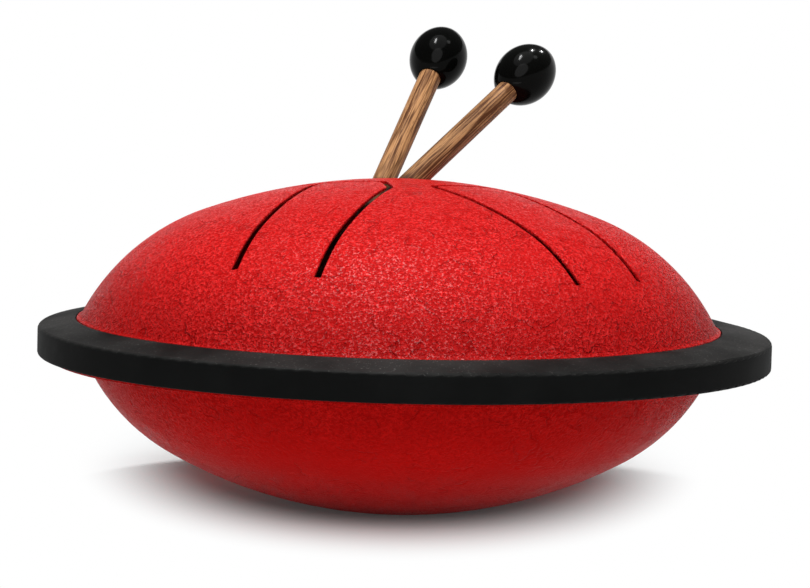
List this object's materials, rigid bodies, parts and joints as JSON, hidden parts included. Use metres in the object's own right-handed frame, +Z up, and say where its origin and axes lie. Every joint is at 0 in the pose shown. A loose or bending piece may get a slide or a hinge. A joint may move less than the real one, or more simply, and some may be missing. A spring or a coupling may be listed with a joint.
{
  "type": "steel tongue drum",
  "caption": "Lens-shaped steel tongue drum: slit upper dome and lower bowl bonded to a rubber rim ring, with rubber-headed mallets standing in the mallet hole.",
  "frame": {"origin": "on the table under the middle of the rubber ring, at the level of the land the drum stands on", "axes": "+X right as seen in the picture, +Y to the back, +Z up"},
  "size_m": [0.33, 0.33, 0.2141],
  "materials": {
    "red_wrinkle_top": "red wrinkle powder coat",
    "red_wrinkle_bottom": "red wrinkle powder coat",
    "ring_rubber": "matt black rubber",
    "adhesive": "dark elastic adhesive",
    "handle_wood": "oiled hardwood",
    "head_rubber": "smooth black rubber with a soft shine"
  },
  "bodies": {
    "drum": {"top_shell": "red_wrinkle_top", "bottom_shell": "red_wrinkle_bottom", "rim_ring": "ring_rubber", "upper_bond": "adhesive", "lower_bond": "adhesive"},
    "left_mallet": {"left_mallet_handle": "handle_wood", "left_mallet_head": "head_rubber"},
    "right_mallet": {"right_mallet_handle": "handle_wood", "right_mallet_head": "head_rubber"}
  },
  "joints": [
    {"name": "left_mallet_lift", "type": "slide", "parent": "drum", "child": "left_mallet", "axis": [0.2488, 0.7898, 0.5606], "range_m": [0, 0.15]},
    {"name": "right_mallet_lift", "type": "slide", "parent": "drum", "child": "right_mallet", "axis": [0.5258, 0.7052, 0.4755], "range_m": [0, 0.15]}
  ]
}
